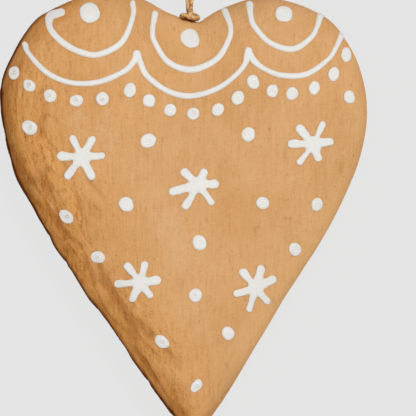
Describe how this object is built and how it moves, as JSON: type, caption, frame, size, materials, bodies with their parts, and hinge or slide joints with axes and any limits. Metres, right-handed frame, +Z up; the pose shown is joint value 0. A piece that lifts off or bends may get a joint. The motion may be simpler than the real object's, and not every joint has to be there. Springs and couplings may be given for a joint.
{
  "type": "papier-mache heart ornament",
  "caption": "Puffy papier-mache heart ornament, ginger brown, with raised white icing-like arcs, dots and snowflakes and a loop of cord.",
  "frame": {"origin": "on the table, below the middle of the heart's own box, without the cord and its knot", "axes": "+Z up out of the painted front, +Y from the tip to the lobes, +X to the right as the front is read"},
  "size_m": [0.0838, 0.1511, 0.0232],
  "materials": {
    "brown_paint": "hand-brushed matt paint over papier-mache",
    "white_paint": "raised satin paint",
    "cord": "waxed cotton"
  },
  "bodies": {
    "root": {"heart_body": "brown_paint", "inner_arc_left": "white_paint", "inner_arc_middle": "white_paint", "inner_arc_right": "white_paint", "outer_scallop": "white_paint", "big_dot_01": "white_paint", "big_dot_02": "white_paint", "big_dot_03": "white_paint", "row_dot_01": "white_paint", "row_dot_02": "white_paint", "row_dot_03": "white_paint", "row_dot_04": "white_paint", "row_dot_05": "white_paint", "row_dot_06": "white_paint", "row_dot_07": "white_paint", "row_dot_08": "white_paint", "row_dot_09": "white_paint", "row_dot_10": "white_paint", "row_dot_11": "white_paint", "row_dot_12": "white_paint", "row_dot_13": "white_paint", "row_dot_14": "white_paint", "row_dot_15": "white_paint", "row_dot_16": "white_paint", "row_dot_17": "white_paint", "row_dot_18": "white_paint", "loose_dot_01": "white_paint", "loose_dot_02": "white_paint", "loose_dot_03": "white_paint", "loose_dot_04": "white_paint", "loose_dot_05": "white_paint", "loose_dot_06": "white_paint", "loose_dot_07": "white_paint", "loose_dot_08": "white_paint", "loose_dot_09": "white_paint", "loose_dot_10": "white_paint", "loose_dot_11": "white_paint", "loose_dot_12": "white_paint", "loose_dot_13": "white_paint", "loose_dot_14": "white_paint", "snowflake_1": "white_paint", "snowflake_2": "white_paint", "snowflake_3": "white_paint", "snowflake_4": "white_paint", "snowflake_5": "white_paint", "hanging_knot": "cord", "hanging_cord": "cord"}
  },
  "joints": []
}
